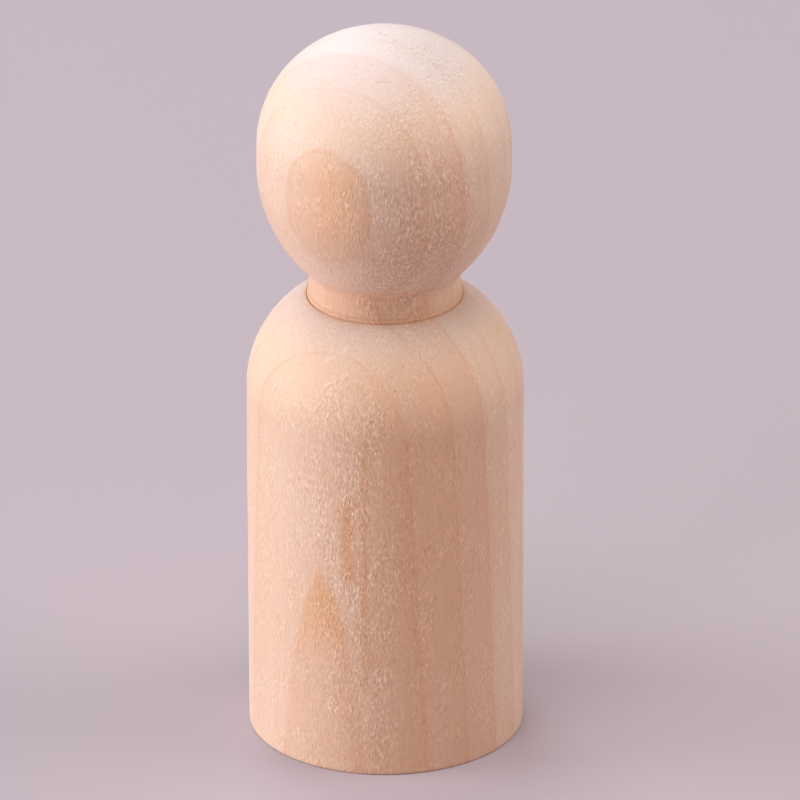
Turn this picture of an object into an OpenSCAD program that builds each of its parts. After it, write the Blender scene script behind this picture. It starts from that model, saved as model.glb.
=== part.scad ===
// Peg doll: a turned head with a neck and a spigot, glued into a turned peg body.
// Millimetres, +Z up, origin at the centre of the base.

/* [Body] */
// Outside diameter of the body
body_d = 22.3; // [18:0.1:30]
// Height of the straight side, from the base to the start of the shoulder
body_side_h = 29.6; // [20:0.1:45]
// Radius of the rounded shoulder
shoulder_r = 9.4; // [7:0.1:11]
// Radius of the softened edge round the base
base_edge_r = 0.15; // [0.05:0.05:1]

/* [Head] */
// Diameter of the head at the cheeks
head_d = 20.4; // [16:0.1:26]
// Radius of the rounded crown
crown_r = 9.3; // [7:0.05:12]
// Height of the straight band at the cheeks
cheek_h = 1.6; // [0.2:0.1:4]
// Radius of the rounded jaw
jaw_r = 12.2; // [9:0.1:15]

/* [Neck] */
// Diameter of the neck where it meets the jaw
neck_waist_d = 12.1; // [10:0.1:14]
// Diameter over the lip at the foot of the neck
neck_foot_d = 12.5; // [11:0.1:15]
// Height of the neck, from its seat to the jaw
neck_h = 2.35; // [1.5:0.01:5]
// Radius of the hollow between the neck and the jaw
neck_fillet_r = 1; // [0.1:0.05:1.2]
// Radius of the rounded lip at the foot of the neck
lip_r = 0.25; // [0.1:0.05:0.5]
// Angle above level at which the lip runs into the neck
lip_angle = 60; // [10:5:80]

/* [Neck joint] */
// Height of the straight wall round the flat seat that is turned into the top of the shoulder
seat_wall_h = 0.05; // [0.02:0.01:1]
// Radius of the softened edge above that wall
seat_edge_r = 0.12; // [0.05:0.01:0.3]
// Gap round the foot of the neck, which shows as a fine line
seat_gap = 0.03; // [0.02:0.01:0.5]
// Diameter of the spigot under the neck
spigot_d = 8; // [5:0.1:10]
// Length of the spigot
spigot_l = 10; // [5:0.5:14]
// Bevel round the end of the spigot
spigot_bevel = 0.6; // [0.2:0.1:1.5]
// Glue gap between the spigot and the wall of its socket
socket_gap = 0.1; // [0.05:0.05:0.3]
// Glue room between the end of the spigot and the floor of its socket
glue_room = 0.8; // [0.2:0.1:2]
// Angle across the drill point at the bottom of the socket
drill_point_angle = 118; // [90:1:135]

/* [Hidden] */
$fn = 96;

// Straight steps along each round stretch of an outline
arc_steps = 24;
wood_color = [0.90, 0.75, 0.63];

body_r = body_d / 2;
head_r = head_d / 2;
neck_waist_r = neck_waist_d / 2;
neck_foot_r = neck_foot_d / 2;
spigot_r = spigot_d / 2;
socket_r = spigot_r + socket_gap;

// The seat is cut into the shoulder, and its softened edge touches the shoulder's arc and the seat's wall
seat_r = neck_foot_r + seat_gap;
shoulder_center = [body_r - shoulder_r, body_side_h];
edge_reach = shoulder_r - seat_edge_r;
edge_angle = acos((seat_r + seat_edge_r - shoulder_center[0]) / edge_reach);
edge_center = shoulder_center + edge_reach * [cos(edge_angle), sin(edge_angle)];
seat_z = edge_center[1] - seat_wall_h;

spigot_end_z = seat_z - spigot_l;
socket_floor_z = spigot_end_z - glue_room;
socket_point_z = socket_floor_z - socket_r / tan(drill_point_angle / 2);

// The neck rises from the lip to the waist, where the jaw's arc begins
lip_center = [neck_foot_r - lip_r, seat_z + lip_r];
lip_top = lip_center + lip_r * [cos(lip_angle), sin(lip_angle)];
waist = [neck_waist_r, seat_z + neck_h];
neck_along = (waist - lip_top) / norm(waist - lip_top);
neck_out = [neck_along[1], -neck_along[0]];

jaw_center_r = head_r - jaw_r;
jaw_center = [jaw_center_r, waist[1] + sqrt(pow(jaw_r, 2) - pow(neck_waist_r - jaw_center_r, 2))];

// The hollow touches the neck's line and the jaw's arc
fillet_from_jaw = lip_top + neck_fillet_r * neck_out - jaw_center;
fillet_drop = fillet_from_jaw * neck_along;
fillet_reach = pow(fillet_drop, 2) - fillet_from_jaw * fillet_from_jaw + pow(jaw_r + neck_fillet_r, 2);
fillet_rise = -fillet_drop - sqrt(fillet_reach);
fillet_center = lip_top + neck_fillet_r * neck_out + fillet_rise * neck_along;
fillet_start_angle = 180 - atan2(neck_along[0], neck_along[1]);
jaw_start_angle = atan2(fillet_center[1] - jaw_center[1], fillet_center[0] - jaw_center[0]);

// The crown ends in a small flat, or in a point on the axis where its radius is larger than the head's
crown_center = [head_r - crown_r, jaw_center[1] + cheek_h];
crown_end_angle = acos(max(0, -crown_center[0]) / crown_r);
crown_z = crown_center[1] + crown_r * sin(crown_end_angle);

// Points along an arc, from one angle to another
function arc(center, r, from, to) = [
    for (step = [0 : arc_steps])
        let (angle = from + (to - from) * step / arc_steps)
            center + r * [cos(angle), sin(angle)]
];

head_outline = concat(
    [[0, spigot_end_z]],
    [[spigot_r - spigot_bevel, spigot_end_z]],
    [[spigot_r, spigot_end_z + spigot_bevel]],
    [[spigot_r, seat_z]],
    arc(lip_center, lip_r, -90, lip_angle),
    arc(fillet_center, neck_fillet_r, fillet_start_angle, jaw_start_angle + 180),
    arc(jaw_center, jaw_r, jaw_start_angle, 0),
    arc(crown_center, crown_r, 0, crown_end_angle),
    [[0, crown_z]]
);

body_outline = concat(
    [[0, 0]],
    arc([body_r - base_edge_r, base_edge_r], base_edge_r, -90, 0),
    arc(shoulder_center, shoulder_r, 0, edge_angle),
    arc(edge_center, seat_edge_r, edge_angle, 180),
    [[seat_r, seat_z]],
    [[socket_r, seat_z]],
    [[socket_r, socket_floor_z]],
    [[0, socket_point_z]]
);

// Head, neck and spigot, turned as one piece
module head() {
    color(wood_color)
        rotate_extrude()
            polygon(head_outline);
}

// Peg body with its shoulder, seat and drilled socket
module body() {
    color(wood_color)
        rotate_extrude()
            polygon(body_outline);
}

head();
body();
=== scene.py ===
import math

import bpy
import numpy as np
from mathutils import Matrix, Vector, noise


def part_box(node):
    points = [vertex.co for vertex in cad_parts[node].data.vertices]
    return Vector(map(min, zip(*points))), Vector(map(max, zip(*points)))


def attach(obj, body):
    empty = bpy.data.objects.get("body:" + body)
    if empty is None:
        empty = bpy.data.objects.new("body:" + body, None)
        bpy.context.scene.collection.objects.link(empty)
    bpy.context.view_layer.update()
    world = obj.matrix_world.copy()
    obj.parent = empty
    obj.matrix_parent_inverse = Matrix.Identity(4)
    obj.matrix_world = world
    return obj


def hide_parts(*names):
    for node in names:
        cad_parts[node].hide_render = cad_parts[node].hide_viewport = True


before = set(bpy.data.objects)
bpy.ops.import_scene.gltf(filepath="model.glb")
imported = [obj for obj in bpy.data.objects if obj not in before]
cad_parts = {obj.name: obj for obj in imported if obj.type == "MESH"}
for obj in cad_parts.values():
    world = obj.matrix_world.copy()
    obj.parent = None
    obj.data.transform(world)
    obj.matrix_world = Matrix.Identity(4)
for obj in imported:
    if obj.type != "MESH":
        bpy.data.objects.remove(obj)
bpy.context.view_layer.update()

MM = 0.001

# Sizes from the frame, in millimetres
BODY_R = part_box("body")[1].x / MM
BODY_TOP_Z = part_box("body")[1].z / MM
HEAD_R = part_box("head")[1].x / MM
CROWN_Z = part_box("head")[1].z / MM
SPIGOT_END_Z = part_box("head")[0].z / MM

# Sizes of the turned outlines, in millimetres and degrees
SHOULDER_R = 9.4
BASE_EDGE_R = 0.15
CROWN_R = 9.3
CHEEK_H = 1.6
JAW_R = 12.2
NECK_WAIST_R = 6.05
NECK_FOOT_R = 6.25
NECK_FILLET_R = 1.0
LIP_R = 0.25
LIP_ANGLE = 60
SEAT_WALL_H = 0.05
SEAT_EDGE_R = 0.12
SEAT_GAP = 0.01
SPIGOT_R = 4.0
SPIGOT_BEVEL = 0.6
SOCKET_GAP = 0.1
GLUE_ROOM = 0.8
DRILL_POINT_ANGLE = 118

# Places that follow from those sizes
SEAT_R = NECK_FOOT_R + SEAT_GAP
SHOULDER_CENTER_R = BODY_R - SHOULDER_R
EDGE_CENTER = np.array([SEAT_R + SEAT_EDGE_R, BODY_TOP_Z - SEAT_EDGE_R])
EDGE_REACH = SHOULDER_R - SEAT_EDGE_R
EDGE_ANGLE = math.degrees(math.acos((EDGE_CENTER[0] - SHOULDER_CENTER_R) / EDGE_REACH))
SIDE_H = EDGE_CENTER[1] - EDGE_REACH * math.sin(math.radians(EDGE_ANGLE))
SEAT_Z = EDGE_CENTER[1] - SEAT_WALL_H
SOCKET_R = SPIGOT_R + SOCKET_GAP
SOCKET_FLOOR_Z = SPIGOT_END_Z - GLUE_ROOM
SOCKET_POINT_Z = SOCKET_FLOOR_Z - SOCKET_R / math.tan(math.radians(DRILL_POINT_ANGLE / 2))
CROWN_CENTER = np.array([HEAD_R - CROWN_R, CROWN_Z - CROWN_R])
JAW_CENTER = np.array([HEAD_R - JAW_R, CROWN_CENTER[1] - CHEEK_H])
WAIST_DROP = math.sqrt(JAW_R**2 - (NECK_WAIST_R - JAW_CENTER[0]) ** 2)
WAIST = np.array([NECK_WAIST_R, JAW_CENTER[1] - WAIST_DROP])
LIP_CENTER = np.array([NECK_FOOT_R - LIP_R, SEAT_Z + LIP_R])
# Angle on the crown's arc above which its faces are laid out as a disc
CAP_ANGLE = 50

# Row spacing along the outlines, in millimetres, and the columns round each piece
FINE_STEP = 0.2
LIP_STEP = 0.05
SIDE_STEP = 0.36
BASE_STEP = 0.4
HIDDEN_STEP = 1.0
HEAD_COLUMNS = 640
BODY_COLUMNS = 560
LEAST_COLUMNS = 8
LEAST_WIDTH = 0.05

# Side of the square sheet that a piece's surface is laid out on and the room left round each chart,
# in millimetres, and the width of the hidden chart as a share of the piece's girth
SHEET = 74.0
SHEET_MARGIN = 1.0
INNER_WIDTH_SHARE = 0.5

# The pith of the tree ran beside the stick, a little off its axis, in millimetres
PITH_POINT = Vector((-25.5, -46.97, 30.0))
PITH_AXIS = Vector((-0.0277, -0.0422, 1.0)).normalized()
# Distance from the pith to the edge of one year's ring, and the rings per millimetre from there on
RING_EDGE = 41.6
RING_RATE = 0.2825
RING_TIGHTENING = 0.00239

# Relief that sanding left: raised fibres, hand waves and proud late wood, in millimetres
FIBRE_LIFT = 0.015
FIBRE_WIDTH = 0.6
FIBRE_STRETCH = 2.0
WAVE_LIFT = 0.02
WAVE_LENGTH = 5.0
LATE_WOOD_LIFT = 0.01
LATE_WOOD_POWER = 3
# Marks from handling and from parting off: from, to, half width and height, in millimetres
MARKS = [
    ((-3.07, -7.84, 36.23), (-4.82, -7.93, 35.22), 0.1, 0.04),
    ((-2.91, -9.17, 34.74), (-4.83, -9.04, 33.62), 0.1, 0.04),
    ((4.4, -10.25, 19.1), (4.4, -10.25, 19.4), 0.2, 0.03),
    ((-0.23, 0.92, 60.0), (0.28, 0.51, 60.0), 0.12, -0.06),
    ((-0.55, -5.76, 58.61), (0.54, -5.76, 58.61), 0.07, -0.04),
    ((3.36, -4.78, 58.57), (5.09, -2.85, 58.58), 0.07, -0.04),
    ((-2.28, -4.15, 59.17), (-2.2, -4.15, 59.17), 0.1, -0.04),
    ((8.77, -3.29, 44.66), (8.78, -3.26, 44.5), 0.12, -0.05),
    ((3.88, -6.24, 41.26), (3.9, -6.22, 41.2), 0.1, -0.04),
]
# End grain torn by the parting tool beside the middle of the crown, in millimetres
TORN_CENTER = Vector((3.4, -1.6, 59.4))
TORN_LINE = ((1.6, -0.2, 59.95), (5.0, -2.9, 58.6))
TORN_REACH = 1.8
TORN_LIFT = 0.03
TORN_WIDTH = 0.3

# Noise in the wood: times longer along the grain than across it, size across it in millimetres, and detail
WANDER_NOISE = (6, 4.0, 1)
RIPPLE_NOISE = (5, 0.5, 1)
YEAR_END_NOISE = (4, 1.5, 1)
FUZZ_NOISE = (2.6, 0.16, 1)
PATCH_NOISE = (1.6, 1.8, 1)
TEAR_NOISE = (1, 0.8, 1)
PORE_NOISE = (5, 0.13, 0)
STREAK_NOISE = (12, 0.25, 2)
DRIFT_NOISE = (3, 9.0, 2)
# Specks: times longer than wide, and spacing across the grain in millimetres
SPECK_STRETCH = 2.1
SPECK_SPACING = 0.2
# How far the rings' edges wander and ripple, in millimetres
WANDER = 0.25
RIPPLE = 0.08
# Middle of the dark line at a year's end, as a share of the year
YEAR_END_PHASE = 0.965
# Tears run where their noise has this value
TEAR_LEVEL = 0.5

# Shares of the wood's features: a value's start and end, and what they give where that isn't 0 and 1.
# Facing is 1 where the surface looks up along the pith, 0 on a side and -1 where it looks down.
END_GRAIN_AND_HIGHLIGHT_ABOVE = (0.5, 1.0)
END_GRAIN_BELOW = (-0.9, -0.99)
LATE_BY_FACING = (0.15, 0.65, 1.0, 0.3)
YEAR_END_WIDTH = (0.04, 0.0)
YEAR_END_BREAKS = (0.35, 0.65, 0.2, 1.0)
YEAR_END_BY_FACING = (0.1, 0.5, 0.3, 1.0)
YEAR_END_BY_HEIGHT = (54.5, 58.0, 1.0, 0.4)
PATCH_RANGE = (0.36, 0.64, 0.1, 0.75)
ROUGH_BY_FACING = (0.1, 0.6, 1.0, 0.6)
SPECK_WIDTH = (0.5, 0.1)
SPECK_CHOICE = (0.25, 0.9)
RAISED_RANGE = (0.53, 0.72)
PIT_RANGE = (0.48, 0.32)
TEAR_WIDTH = (0.04, 0.0)
TEAR_REACH = (0.25, 0.7)
TEAR_BREAKS = (0.6, 0.4)
PORE_RANGE = (0.3, 0.16)
STREAK_RANGE = (0.35, 0.65)
DRIFT_RANGE = (0.35, 0.65)
STAIN_BREAKS = (0.3, 0.6, 1.3, 0.5)
ROUGHNESS_BY_SPECKS = (0.0, 1.0, 0.58, 0.42)
# How strongly the small features colour the wood; for the raised fibres and specks this colour is partly a
# painted glint
MARK_SHARE = 0.45
PORE_SHARE = 0.5
PIT_SHARE = 0.5
TEAR_SHARE = 0.8
RAISED_GLINT_SHARE = 0.75
SPECK_GLINT_SHARE = 0.8

# Wood colours, and how late wood gathers through a year
RING_PROFILE = ((0, 0.6), (0.09, 0.0), (0.6, 0.3), (0.88, 0.75), (0.96, 1.0), (1, 0.6))
WOOD_EARLY = (0.84, 0.575, 0.43, 1)
WOOD_LATE = (0.815, 0.53, 0.375, 1)
YEAR_END_TINT = (0.93, 0.82, 0.75, 1)
STREAK_TINT = (0.98, 0.955, 0.935, 1)
DRIFT_TINT = (0.98, 0.95, 0.92, 1)
# End grain is paler and cooler; on upward faces this is partly a painted highlight
END_GRAIN_AND_HIGHLIGHT_TINT = (0.9, 1.03, 1.26, 1)
PORE_TINT = (0.75, 0.58, 0.47, 1)
PIT_TINT = (0.8, 0.7, 0.62, 1)
# Paler raised fibres: partly their own paler colour, partly a painted glint where they catch the light
PALE_FIBRE_AND_GLINT_TINT = (1.25, 1.36, 1.45, 1)
# Outer wood pales between these distances past the ring's edge, in millimetres
SAP_REACH = (9.6, 10.4)
SAP_TINT = (1.0, 1.06, 1.08, 1)
# The colour pales towards the top of the stick, between these heights, in millimetres
PALE_REACH = (44.0, 57.0)
PALE_TINT = (1.0, 1.07, 1.16, 1)
# The neck is warmer within these distances of a height, in millimetres
NECK_WARM_Z = 39.2
NECK_WARM_REACH = (2.0, 1.2)
NECK_TINT = (1.0, 0.92, 0.84, 1)
# Painted shade in the seam at the foot of the neck and in the line above its lip: radius, height over the
# seat, reach and tint
CREASE_SHADES = [
    (SEAT_R, 0.1, 0.6, (0.97, 0.9, 0.83, 1)),
    (6.12, 0.5, 0.2, (0.94, 0.85, 0.77, 1)),
]
# Late wood laid bare where the surface just reaches it: year, softness of its edge,
# from, to and reach in millimetres, and tint
HEARTS = [
    (0, 0.015, (-5.2, -9.85, 16.0), (-5.0, -9.9, 13.5), 2.6, (0.98, 0.87, 0.71, 1)),
    (1, 0.18, (-3.6, -9.55, 52.0), (-4.1, -9.35, 48.8), 3.6, (1.04, 0.91, 0.76, 1)),
]
# The soft edge of such late wood reaches this many times less far outwards than inwards
HEART_EDGE_RATIO = 3
# Brown streaks: from, to, reach, in millimetres, and strength
STAINS = [
    ((-1.66, -11.03, 28.7), (-1.73, -11.01, 7.5), 0.28, 0.8),
    ((-1.3, -10.1, 52.0), (-1.5, -10.1, 47.0), 0.5, 0.4),
    ((-3.2, -10.68, 23.5), (-2.98, -10.75, 17.5), 0.55, 1.5),
    ((-1.24, -11.08, 10.6), (-1.24, -11.08, 9.9), 0.6, 0.7),
]
STAIN_TINT = (0.9, 0.75, 0.6, 1)
# Broad warmer areas: from, to and reach in millimetres, and tint
WARMS = [
    ((2.5, -10.9, 27.0), (2.5, -10.9, 2.0), 7.0, (0.98, 0.88, 0.8, 1)),
    ((5.0, -8.9, 52.0), (5.0, -8.9, 45.0), 4.5, (0.95, 0.88, 0.83, 1)),
    ((7.0, -8.7, 34.0), (7.0, -8.7, 2.0), 4.0, (0.93, 0.92, 0.92, 1)),
]
# Rougher strips, where the raised fibres and specks also carry more of their painted glint: from, to and
# reach in millimetres, and strength
ROUGH_AND_GLINT_STRIPS = [
    ((-2.0, -11.0, 31.0), (-2.2, -11.0, 5.0), 4.3, 0.7),
    ((3.0, -8.0, 55.0), (1.5, -9.5, 45.0), 4.5, 0.75),
    ((1.0, -6.1, 41.0), (1.0, -6.1, 38.5), 4.0, 0.8),
]
SHEEN = 0.2
# Height of the finest fibres, in millimetres
BUMP_HEIGHT = 0.035

# Floor, in metres
FLOOR_HALF = 1.5
FLOOR_COLOR = (0.44, 0.376, 0.43, 1)
FLOOR_ROUGHNESS = 0.9

# Camera, in millimetres and degrees, and the farthest that it sees, in metres
CAMERA_ELEVATION = 24.91
CAMERA_ROLL = 0.185
CAMERA_DISTANCE = 995.35
CAMERA_LENS = 556.3
CAMERA_SEES = 10
AIM_Z = 30.0
AIM_RIGHT = 1.204
AIM_DOWN = 1.627

# Lights: name, azimuth, elevation, side in metres, power in watts and tint
COOL = (0.945, 1.0, 1.058)
WARM = (1.058, 1.0, 0.945)
WARMER = (1.1, 0.98, 0.9)
LIGHTS = [
    ("key", -90, 12, 0.45, 6.3, COOL),
    ("overhead", -30, 80, 0.6, 5.7, WARM),
    ("right_fill", 90, 32, 0.6, 3.6, WARMER),
    ("back_light", -165, 35, 0.45, 2.4, COOL),
    ("front_fill", -40, 14, 0.45, 1.6, WARM),
]
LIGHT_DISTANCE = 0.9
WORLD_COLOR = (1, 1, 1, 1)
WORLD_STRENGTH = 0.08


def on_circle(center, radius, degrees):
    """The point of a circle at an angle."""
    angle = math.radians(degrees)
    return np.array([center[0] + radius * math.cos(angle), center[1] + radius * math.sin(angle)])


def arc(center, radius, start, end, step):
    """Points along an arc, about one step apart."""
    count = max(2, math.ceil(abs(math.radians(end - start)) * radius / step))
    return [on_circle(center, radius, angle) for angle in np.linspace(start, end, count + 1)]


def line(start, end, step):
    """Points along a straight line, about one step apart."""
    start, end = np.array(start, float), np.array(end, float)
    count = max(1, math.ceil(np.linalg.norm(end - start) / step))
    return [start + (end - start) * share for share in np.linspace(0, 1, count + 1)]


def neck_hollow(step):
    """The hollow that touches the neck's line and the jaw's arc, and the angle at which the jaw begins."""
    lip_top = on_circle(LIP_CENTER, LIP_R, LIP_ANGLE)
    along = (WAIST - lip_top) / np.linalg.norm(WAIST - lip_top)
    out = np.array([along[1], -along[0]])
    start = lip_top + NECK_FILLET_R * out - JAW_CENTER
    drop = start @ along
    rise = -drop - math.sqrt(drop**2 - start @ start + (JAW_R + NECK_FILLET_R) ** 2)
    center = lip_top + NECK_FILLET_R * out + rise * along
    jaw_angle = math.degrees(math.atan2(*(center - JAW_CENTER)[::-1]))
    neck_angle = 180 - math.degrees(math.atan2(*along))
    return arc(center, NECK_FILLET_R, neck_angle, jaw_angle + 180, step), jaw_angle


def head_outline():
    """The head's outline from the spigot's end up to the crown, as stretches with a chart's name each."""
    hollow, jaw_angle = neck_hollow(FINE_STEP)
    lip = line((NECK_FOOT_R, SEAT_Z), (NECK_FOOT_R, LIP_CENTER[1]), LIP_STEP)
    lip += arc(LIP_CENTER, LIP_R, 0, LIP_ANGLE, LIP_STEP)[1:]
    spigot_corner = (SPIGOT_R - SPIGOT_BEVEL, SPIGOT_END_Z)
    spigot_edge = (SPIGOT_R, SPIGOT_END_Z + SPIGOT_BEVEL)
    return [
        ("inner", line((0, SPIGOT_END_Z), spigot_corner, HIDDEN_STEP)),
        ("inner", line(spigot_corner, spigot_edge, HIDDEN_STEP)),
        ("inner", line(spigot_edge, (SPIGOT_R, SEAT_Z), HIDDEN_STEP)),
        ("inner", line((SPIGOT_R, SEAT_Z), lip[0], HIDDEN_STEP)),
        ("side", lip),
        ("side", line(lip[-1], hollow[0], FINE_STEP)),
        ("side", hollow),
        ("side", arc(JAW_CENTER, JAW_R, jaw_angle, 0, FINE_STEP)),
        ("side", line((HEAD_R, JAW_CENTER[1]), (HEAD_R, CROWN_CENTER[1]), FINE_STEP)),
        ("side", arc(CROWN_CENTER, CROWN_R, 0, CAP_ANGLE, FINE_STEP)),
        ("disc", arc(CROWN_CENTER, CROWN_R, CAP_ANGLE, 90, FINE_STEP)),
        ("disc", line((CROWN_CENTER[0], CROWN_Z), (0, CROWN_Z), FINE_STEP)),
    ]


def body_outline():
    """The body's outline from the middle of the base, up the side and down into the socket."""
    base_edge = (BODY_R - BASE_EDGE_R, BASE_EDGE_R)
    return [
        ("disc", line((0, 0), (BODY_R - BASE_EDGE_R, 0), BASE_STEP)),
        ("side", arc(base_edge, BASE_EDGE_R, -90, 0, LIP_STEP)),
        ("side", line((BODY_R, BASE_EDGE_R), (BODY_R, SIDE_H), SIDE_STEP)),
        ("side", arc((SHOULDER_CENTER_R, SIDE_H), SHOULDER_R, 0, EDGE_ANGLE, FINE_STEP)),
        ("side", arc(EDGE_CENTER, SEAT_EDGE_R, EDGE_ANGLE, 180, LIP_STEP)),
        ("inner", line((SEAT_R, EDGE_CENTER[1]), (SEAT_R, SEAT_Z), HIDDEN_STEP)),
        ("inner", line((SEAT_R, SEAT_Z), (SOCKET_R, SEAT_Z), HIDDEN_STEP)),
        ("inner", line((SOCKET_R, SEAT_Z), (SOCKET_R, SOCKET_FLOOR_Z), HIDDEN_STEP)),
        ("inner", line((SOCKET_R, SOCKET_FLOOR_Z), (0, SOCKET_POINT_Z), HIDDEN_STEP)),
    ]


def ring_phase(at):
    """How far a point has come through its year's ring, from 0 at the ring's start to 1 at its end."""
    past_edge = (at - PITH_POINT).cross(PITH_AXIS).length - RING_EDGE
    return (past_edge * (RING_RATE + RING_TIGHTENING * past_edge)) % 1


def bell(distance, reach):
    """A smooth hump that falls from 1 to nearly 0 over a reach or two."""
    return math.exp(-((distance / reach) ** 2))


def mark_lift(at):
    """How far the handling marks raise or sink the surface at a point."""
    lift = 0
    for start, end, half_width, height in MARKS:
        start, end = Vector(start), Vector(end)
        along = end - start
        share = min(1, max(0, (at - start).dot(along) / along.length_squared))
        lift += height * bell((at - start - along * share).length, half_width)
    return lift


def relief(at):
    """How far the finished surface stands off the turned outline at a point, in millimetres."""
    fibre = noise.noise(Vector((at.x, at.y, at.z / FIBRE_STRETCH)) / FIBRE_WIDTH)
    lift = FIBRE_LIFT * fibre * abs(fibre)
    lift += WAVE_LIFT * noise.noise(at / WAVE_LENGTH)
    lift += LATE_WOOD_LIFT * ring_phase(at) ** LATE_WOOD_POWER
    torn = bell((at - TORN_CENTER).length, TORN_REACH)
    lift += TORN_LIFT * torn * noise.noise(at / TORN_WIDTH)
    return lift + mark_lift(at)


def column_count(radius, most):
    """How many columns a row has: the most, halved while they would lie too close together."""
    if math.isclose(radius, 0, abs_tol=MM):
        return 1
    count = most
    while count > LEAST_COLUMNS and 2 * math.pi * radius / count < LEAST_WIDTH:
        count //= 2
    return count


def band(low, high):
    """Corners of the faces between two rows, as (row, column); one count is a multiple of the other."""
    few = min(low, high)
    ratio = max(low, high) // few
    faces = []
    if few == 1:
        middle = 0.5
        for i in range(ratio):
            tip = [(int(low > 1), i + middle)]
            edge = [(int(low == 1), i), (int(low == 1), i + 1)]
            faces.append(edge + tip if low > 1 else edge[::-1] + tip)
        return faces
    for i in range(few):
        many = range(i * ratio, (i + 1) * ratio + 1)
        if low >= high:
            faces.append([(0, column) for column in many] + [(1, i + 1), (1, i)])
        else:
            faces.append([(0, i), (0, i + 1)] + [(1, column) for column in reversed(many)])
    return faces


def outline_rows(outline):
    """The outline's points, their outward directions, each band's chart and the way along the outline."""
    points = [outline[0][1][0]]
    charts = []
    for chart, stretch in outline:
        points += stretch[1:]
        charts += [chart] * (len(stretch) - 1)
    points = np.array(points)
    steps = np.diff(points, axis=0)
    lengths = np.linalg.norm(steps, axis=1)
    outward = np.stack([steps[:, 1], -steps[:, 0]], 1) / lengths[:, None]
    outward = np.concatenate([outward[:1], outward[:-1] + outward[1:], outward[-1:]])
    outward /= np.linalg.norm(outward, axis=1)[:, None]
    return points, outward, charts, np.concatenate([[0], np.cumsum(lengths)])


def turned_verts(points, outward, charts, counts):
    """The corners of a turned piece, row by row, with the relief on the rows that show."""
    verts = []
    for i, (radius, z) in enumerate(points):
        hidden = "inner" in charts[max(0, i - 1):i + 1]
        for angle in np.arange(counts[i]) * 2 * math.pi / counts[i]:
            spoke = Vector((math.cos(angle), math.sin(angle), 0))
            at = spoke * radius + Vector((0, 0, z))
            if not hidden:
                out = spoke * outward[i][0] + Vector((0, 0, outward[i][1]))
                at += out * relief(at)
                at.z = max(at.z, 0)
            verts.append(at)
    return verts


def lathe(name, outline, columns):
    """A turned piece from its outline, as one closed mesh with its surface laid out on a sheet."""
    points, outward, charts, way = outline_rows(outline)
    counts = [column_count(radius, columns) for radius, _ in points]
    starts = np.concatenate([[0], np.cumsum(counts)])
    verts = turned_verts(points, outward, charts, counts)
    side_start = way[charts.index("side")]
    side_end = way[len(charts) - charts[::-1].index("side")]
    inner_start = way[charts.index("inner")]
    around = 2 * math.pi * max(points[:, 0])
    disc_r = max(max(points[i:i + 2, 0]) for i, chart in enumerate(charts) if chart == "disc")
    top = side_end - side_start + 2 * SHEET_MARGIN
    disc_at = np.array([SHEET_MARGIN + disc_r, top + disc_r])
    inner_at = np.array([disc_at[0] + disc_r + SHEET_MARGIN, top])
    faces = []
    sheet = []
    for i, chart in enumerate(charts):
        for face in band(counts[i], counts[i + 1]):
            corners = []
            for step, column in face:
                row = i + step
                corners.append(starts[row] + int(column) % counts[row])
                around_share = column / (counts[row] if counts[row] > 1 else max(counts[i:i + 2]))
                if chart == "side":
                    place = (SHEET_MARGIN + around_share * around, SHEET_MARGIN + way[row] - side_start)
                elif chart == "disc":
                    place = disc_at + np.array(verts[corners[-1]][:2])
                else:
                    width = around_share * around * INNER_WIDTH_SHARE
                    place = inner_at + np.array([width, way[row] - inner_start])
                sheet.append(place)
            faces.append(corners)
    mesh = bpy.data.meshes.new(name)
    mesh.from_pydata([v * MM for v in verts], [], faces)
    mesh.shade_smooth()
    layout = mesh.uv_layers.new(name="OFBake")
    layout.uv.foreach_set("vector", (np.array(sheet) / SHEET).astype(np.float32).ravel())
    piece = bpy.data.objects.new(name, mesh)
    bpy.context.scene.collection.objects.link(piece)
    return piece


class Graph:
    """Short calls that add shader nodes to one material and link them."""

    # Places of the colour sockets on a Mix node
    FIRST_COLOR = 6
    SECOND_COLOR = 7
    MIXED_COLOR = 2

    def __init__(self, material):
        material.use_nodes = True
        self.tree = material.node_tree
        self.shader = self.tree.nodes["Principled BSDF"]

    def node(self, kind, inputs, **settings):
        made = self.tree.nodes.new("ShaderNode" + kind)
        for name, value in settings.items():
            setattr(made, name, value)
        for socket, value in inputs.items():
            self.feed(made.inputs[socket], value)
        return made

    def feed(self, socket, value):
        if isinstance(value, bpy.types.NodeSocket):
            self.tree.links.new(value, socket)
        else:
            socket.default_value = value

    def math(self, operation, *values):
        return self.node("Math", dict(enumerate(values)), operation=operation).outputs[0]

    def vector(self, operation, *values):
        made = self.node("VectorMath", dict(enumerate(values)), operation=operation)
        gives_number = operation in ("LENGTH", "DOT_PRODUCT", "DISTANCE")
        return made.outputs["Value" if gives_number else "Vector"]

    def scaled(self, vector, scale):
        made = self.node("VectorMath", {"Vector": vector, "Scale": scale}, operation="SCALE")
        return made.outputs["Vector"]

    def times(self, *values):
        """The product of several numbers."""
        product = values[0]
        for value in values[1:]:
            product = self.math("MULTIPLY", product, value)
        return product

    def away(self, value, middle):
        """How far a number lies from a middle, on either side."""
        return self.math("ABSOLUTE", self.math("SUBTRACT", value, middle))

    def between(self, value, low, high, to_low=0.0, to_high=1.0):
        """A number that goes smoothly from one end to another while a value goes from low to high."""
        inputs = {"Value": value, "From Min": low, "From Max": high, "To Min": to_low, "To Max": to_high}
        return self.node("MapRange", inputs, interpolation_type="SMOOTHSTEP").outputs["Result"]

    def mix(self, share, first, second, blend="MIX"):
        made = self.node("Mix", {"Factor": share}, data_type="RGBA", blend_type=blend)
        self.feed(made.inputs[self.FIRST_COLOR], first)
        self.feed(made.inputs[self.SECOND_COLOR], second)
        return made.outputs[self.MIXED_COLOR]

    def tint(self, share, color, tint):
        return self.mix(share, color, tint, "MULTIPLY")


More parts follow.
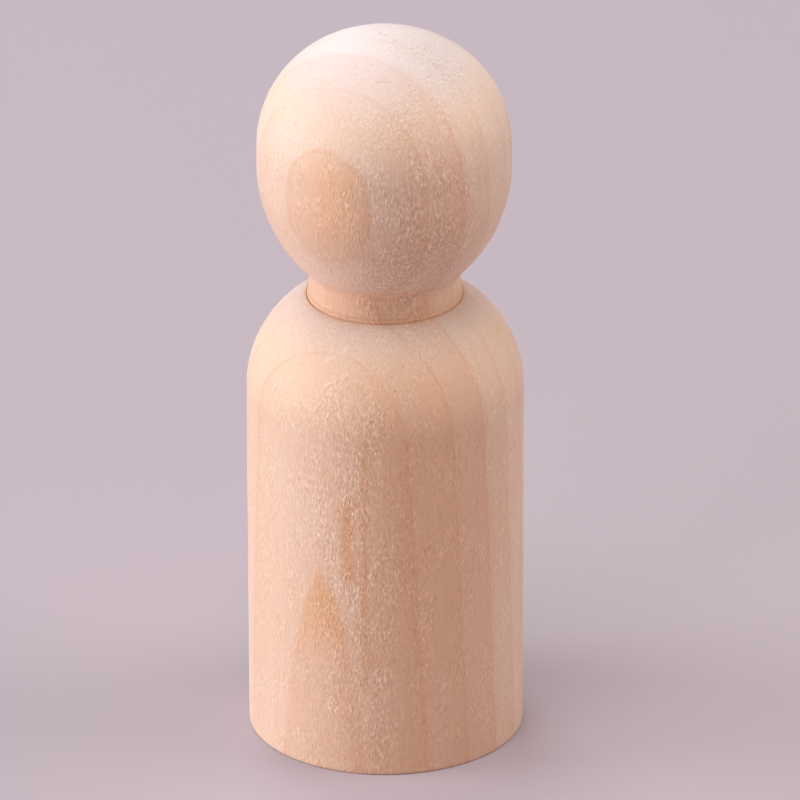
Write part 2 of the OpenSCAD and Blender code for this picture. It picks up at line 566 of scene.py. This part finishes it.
class Wood(Graph):
    """A material's graph with places in the stick, in millimetres, and what is measured from them."""

    def __init__(self, material):
        super().__init__(material)
        coordinates = self.node("TexCoord", {}).outputs
        self.at = self.scaled(coordinates["Object"], 1 / MM)
        self.height = self.node("SeparateXYZ", {"Vector": self.at}).outputs["Z"]
        self.from_pith = self.vector("SUBTRACT", self.at, PITH_POINT)
        self.along = self.vector("DOT_PRODUCT", self.from_pith, PITH_AXIS)
        self.facing = self.vector("DOT_PRODUCT", coordinates["Normal"], PITH_AXIS)

    def stretched(self, longer):
        """Places squeezed along the grain, so that what is drawn there is longer along it."""
        squeeze = self.math("MULTIPLY", self.along, 1 / longer - 1)
        return self.vector("ADD", self.at, self.scaled(PITH_AXIS, squeeze))

    def noise(self, longer, size, detail):
        """Noise from 0 to 1 that runs along the grain."""
        inputs = {"Vector": self.stretched(longer), "Scale": 1 / size, "Detail": detail}
        return self.node("TexNoise", inputs).outputs["Fac"]

    def shift(self, reach, *settings):
        """Noise from minus a reach to that reach."""
        return self.math("MULTIPLY_ADD", self.noise(*settings), 2 * reach, -reach)

    def near_line(self, start, end, reach):
        """A soft share that falls from 1 on a straight line to nearly 0 a reach or two away from it."""
        way = Vector(end) - Vector(start)
        share = self.vector("DOT_PRODUCT", self.vector("SUBTRACT", self.at, start), way / way.length_squared)
        share = self.node("Clamp", {"Value": share}).outputs[0]
        distance = self.vector("DISTANCE", self.at, self.vector("ADD", self.scaled(way, share), start))
        reaches = self.math("DIVIDE", distance, reach)
        return self.math("EXPONENT", self.times(reaches, reaches, -1))

    def near_circle(self, radius, height, reach):
        """A share that falls from 1 on a level circle round the doll's axis to 0 a reach away from it."""
        level = self.vector("LENGTH", self.vector("MULTIPLY", self.at, (1, 1, 0)))
        out = self.math("SUBTRACT", level, radius)
        rise = self.math("SUBTRACT", self.height, height)
        distance = self.vector("LENGTH", self.node("CombineXYZ", {"X": out, "Y": rise}).outputs[0])
        return self.between(distance, reach, 0.0)

    def profile(self, value, points):
        """A number read off a curve through some points."""
        made = self.node("FloatCurve", {"Value": value})
        curve = made.mapping.curves[0]
        for x, y in points[1:-1]:
            curve.points.new(x, y)
        curve.points[0].location = points[0]
        curve.points[-1].location = points[-1]
        made.mapping.update()
        return made.outputs[0]


def ringed_color(wood):
    """The wood's colour with its year rings, whose edges wander a little, and its paler outer wood."""
    distance = wood.vector("LENGTH", wood.vector("CROSS_PRODUCT", wood.from_pith, PITH_AXIS))
    shift = wood.math("ADD", wood.shift(WANDER, *WANDER_NOISE), wood.shift(RIPPLE, *RIPPLE_NOISE))
    past_edge = wood.math("SUBTRACT", wood.math("ADD", distance, shift), RING_EDGE)
    rate = wood.math("MULTIPLY_ADD", past_edge, RING_TIGHTENING, RING_RATE)
    rings = wood.times(past_edge, rate)
    phase = wood.math("FRACT", rings)
    late = wood.times(wood.profile(phase, RING_PROFILE), wood.between(wood.facing, *LATE_BY_FACING))
    year_end = wood.times(
        wood.between(wood.away(phase, YEAR_END_PHASE), *YEAR_END_WIDTH),
        wood.between(wood.noise(*YEAR_END_NOISE), *YEAR_END_BREAKS),
        wood.between(wood.facing, *YEAR_END_BY_FACING),
        wood.between(wood.height, *YEAR_END_BY_HEIGHT),
    )
    color = wood.mix(late, WOOD_EARLY, WOOD_LATE)
    color = wood.tint(year_end, color, YEAR_END_TINT)
    for year, edge, start, end, reach, tint in HEARTS:
        inside = wood.between(rings, year + edge / HEART_EDGE_RATIO, year - edge)
        color = wood.tint(wood.times(inside, wood.near_line(start, end, reach)), color, tint)
    return wood.tint(wood.between(past_edge, *SAP_REACH), color, SAP_TINT)


def broad_tints(wood, color):
    """The colour with streaks, stains, warmer and paler areas, and paler end grain that is partly a painted
    highlight on its upward faces.
    """
    streaks = wood.noise(*STREAK_NOISE)
    color = wood.tint(wood.between(streaks, *STREAK_RANGE), color, STREAK_TINT)
    color = wood.tint(wood.between(wood.noise(*DRIFT_NOISE), *DRIFT_RANGE), color, DRIFT_TINT)
    for start, end, reach, strength in STAINS:
        breaks = wood.between(streaks, *STAIN_BREAKS)
        color = wood.tint(wood.times(wood.near_line(start, end, reach), strength, breaks), color, STAIN_TINT)
    for start, end, reach, tint in WARMS:
        color = wood.tint(wood.near_line(start, end, reach), color, tint)
    # Paler, cooler end grain, partly a painted highlight on the upward faces
    above = wood.between(wood.facing, *END_GRAIN_AND_HIGHLIGHT_ABOVE)
    below = wood.between(wood.facing, *END_GRAIN_BELOW)
    color = wood.tint(wood.math("MAXIMUM", above, below), color, END_GRAIN_AND_HIGHLIGHT_TINT)
    color = wood.tint(wood.between(wood.height, *PALE_REACH), color, PALE_TINT)
    neck = wood.between(wood.away(wood.height, NECK_WARM_Z), *NECK_WARM_REACH)
    return wood.tint(neck, color, NECK_TINT)


def wood_material():
    """Bare, lightly sanded wood with year rings round the pith, fibres along it whose specks are paled
    partly as a painted glint, and paler end grain that is partly a painted highlight on its upward faces.
    """
    material = bpy.data.materials.new("bare_wood")
    wood = Wood(material)

    # Raised fibres, pits and specks, in rougher and smoother patches; the raised fibres and specks are paled
    # partly as a painted glint
    fuzz = wood.noise(*FUZZ_NOISE)
    torn = wood.near_line(*TORN_LINE, TORN_REACH)
    rough = wood.between(wood.noise(*PATCH_NOISE), *PATCH_RANGE)
    # The rougher strips also gather more of the specks' painted glint
    for start, end, reach, strength in ROUGH_AND_GLINT_STRIPS:
        rough = wood.math("MULTIPLY_ADD", wood.near_line(start, end, reach), strength, rough)
    rough = wood.times(rough, wood.between(wood.facing, *ROUGH_BY_FACING))
    places = {"Vector": wood.stretched(SPECK_STRETCH), "Scale": 1 / SPECK_SPACING}
    fibre = wood.node("TexVoronoi", places).outputs
    specks = wood.times(
        wood.between(fibre["Distance"], *SPECK_WIDTH),
        wood.between(fibre["Color"], *SPECK_CHOICE),
        rough,
        rough,
    )
    raised = wood.times(wood.between(fuzz, *RAISED_RANGE), rough)
    pits = wood.times(wood.between(fuzz, *PIT_RANGE), wood.math("ADD", torn, rough))
    tears = wood.times(
        wood.between(wood.away(wood.noise(*TEAR_NOISE), TEAR_LEVEL), *TEAR_WIDTH),
        wood.between(torn, *TEAR_REACH),
        wood.between(fuzz, *TEAR_BREAKS),
    )
    pores = wood.between(wood.noise(*PORE_NOISE), *PORE_RANGE)

    color = broad_tints(wood, ringed_color(wood))
    # Raised marks are paled with the fibres' tint, partly a painted glint; sunken marks are darkened with
    # the pores' tint
    for start, end, half_width, lift in MARKS:
        mark = wood.times(wood.near_line(start, end, half_width), MARK_SHARE)
        color = wood.tint(mark, color, PALE_FIBRE_AND_GLINT_TINT if lift > 0 else PORE_TINT)
    color = wood.tint(wood.times(pores, PORE_SHARE), color, PORE_TINT)
    color = wood.tint(wood.times(pits, PIT_SHARE), color, PIT_TINT)
    color = wood.tint(wood.times(tears, TEAR_SHARE), color, PIT_TINT)
    # Painted glint, partly pale fibres: the raised fibres and specks are paled
    color = wood.tint(wood.times(raised, RAISED_GLINT_SHARE), color, PALE_FIBRE_AND_GLINT_TINT)
    color = wood.tint(wood.times(specks, SPECK_GLINT_SHARE), color, PALE_FIBRE_AND_GLINT_TINT)
    # Painted shade darkens the seam at the neck's foot and the line above the lip
    for radius, over_seat, reach, tint in CREASE_SHADES:
        color = wood.tint(wood.near_circle(radius, SEAT_Z + over_seat, reach), color, tint)

    wood.feed(wood.shader.inputs["Base Color"], color)
    wood.feed(wood.shader.inputs["Roughness"], wood.between(specks, *ROUGHNESS_BY_SPECKS))
    wood.shader.inputs["Sheen Weight"].default_value = SHEEN
    bump = wood.node("Bump", {"Distance": BUMP_HEIGHT * MM, "Height": wood.math("ADD", fuzz, specks)})
    wood.feed(wood.shader.inputs["Normal"], bump.outputs["Normal"])
    return material


def add_light(name, azimuth, elevation, size, power, tint):
    """A square soft light that looks at the middle of the part; azimuth 0 is on the camera's side."""
    turn, rise = math.radians(azimuth), math.radians(elevation)
    out = Vector((math.sin(turn) * math.cos(rise), -math.cos(turn) * math.cos(rise), math.sin(rise)))
    light = bpy.data.objects.new(name, bpy.data.lights.new(name, "AREA"))
    light.data.size = size
    light.data.energy = power
    light.data.color = tint
    light.location = out * LIGHT_DISTANCE + Vector((0, 0, AIM_Z * MM))
    light.rotation_euler = (-out).to_track_quat("-Z", "Y").to_euler()
    bpy.context.scene.collection.objects.link(light)


# Pieces
head = lathe("head_turned", head_outline(), HEAD_COLUMNS)
body = lathe("body_turned", body_outline(), BODY_COLUMNS)
bare_wood = wood_material()
for piece, node in ((head, "head"), (body, "body")):
    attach(piece, "root")
    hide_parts(node)
    piece.data.materials.append(bare_wood)

# Floor
floor_mesh = bpy.data.meshes.new("floor")
floor_corners = [(x * FLOOR_HALF, y * FLOOR_HALF, 0) for x, y in ((-1, -1), (1, -1), (1, 1), (-1, 1))]
floor_mesh.from_pydata(floor_corners, [], [range(len(floor_corners))])
floor = bpy.data.objects.new("floor", floor_mesh)
bpy.context.scene.collection.objects.link(floor)
floor_material = bpy.data.materials.new("floor")
floor_shader = Graph(floor_material).shader
floor_shader.inputs["Base Color"].default_value = FLOOR_COLOR
floor_shader.inputs["Roughness"].default_value = FLOOR_ROUGHNESS
floor_mesh.materials.append(floor_material)

# Camera
elevation, roll = math.radians(CAMERA_ELEVATION), math.radians(CAMERA_ROLL)
back = Vector((0, -math.cos(elevation), math.sin(elevation)))
level_up = Vector((0, math.sin(elevation), math.cos(elevation)))
level_right = Vector((1, 0, 0))
right = level_right * math.cos(roll) - level_up * math.sin(roll)
up = level_right * math.sin(roll) + level_up * math.cos(roll)
camera = bpy.data.objects.new("camera", bpy.data.cameras.new("camera"))
bpy.context.scene.collection.objects.link(camera)
aim = Vector((0, 0, AIM_Z)) + right * AIM_RIGHT - up * AIM_DOWN
turned = Matrix((right, up, back)).transposed().to_4x4()
camera.matrix_world = Matrix.Translation((aim + back * CAMERA_DISTANCE) * MM) @ turned
camera.data.lens = CAMERA_LENS
camera.data.clip_end = CAMERA_SEES
bpy.context.scene.camera = camera

# Light
for light_settings in LIGHTS:
    add_light(*light_settings)
world = bpy.data.worlds.new("studio")
bpy.context.scene.world = world
world.use_nodes = True
world.node_tree.nodes["Background"].inputs["Color"].default_value = WORLD_COLOR
world.node_tree.nodes["Background"].inputs["Strength"].default_value = WORLD_STRENGTH

bpy.context.scene.view_settings.view_transform = "Standard"
